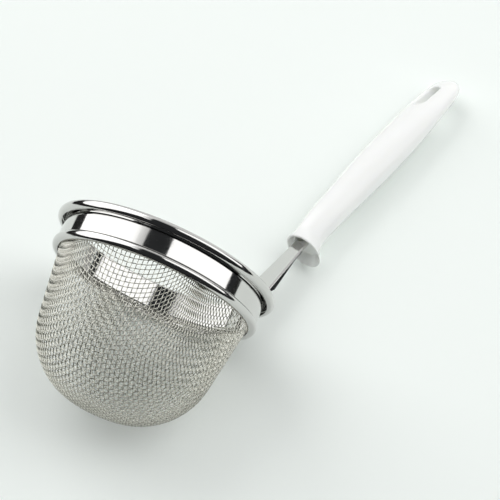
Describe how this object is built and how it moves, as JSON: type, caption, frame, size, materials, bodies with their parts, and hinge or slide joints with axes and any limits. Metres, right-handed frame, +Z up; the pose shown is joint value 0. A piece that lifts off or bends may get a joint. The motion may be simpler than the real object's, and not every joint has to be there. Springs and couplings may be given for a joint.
{
  "type": "tea strainer",
  "caption": "Hand-held tea strainer with a deep woven wire basket, a rolled steel rim band and a flared white plastic handle, lying on its side.",
  "frame": {"origin": "centre of the bounding box at table level, under the strainer as it lies", "axes": "+Z up from the table; +X along the handle's level direction, from the basket to the handle's tail; +Y to the left of that. The basket's mouth faces +X and a little up and to +Y."},
  "size_m": [0.1868, 0.0702, 0.0699],
  "materials": {
    "polished_steel": "mirror-polished stainless sheet",
    "woven_wire": "bright drawn stainless wire",
    "white_plastic": "glossy white moulding"
  },
  "bodies": {
    "root": {"outer_band": "polished_steel", "inner_ring": "polished_steel", "mesh_basket": "woven_wire", "handle_tang": "polished_steel", "weld_nuggets": "polished_steel", "handle_grip": "white_plastic"}
  },
  "joints": []
}
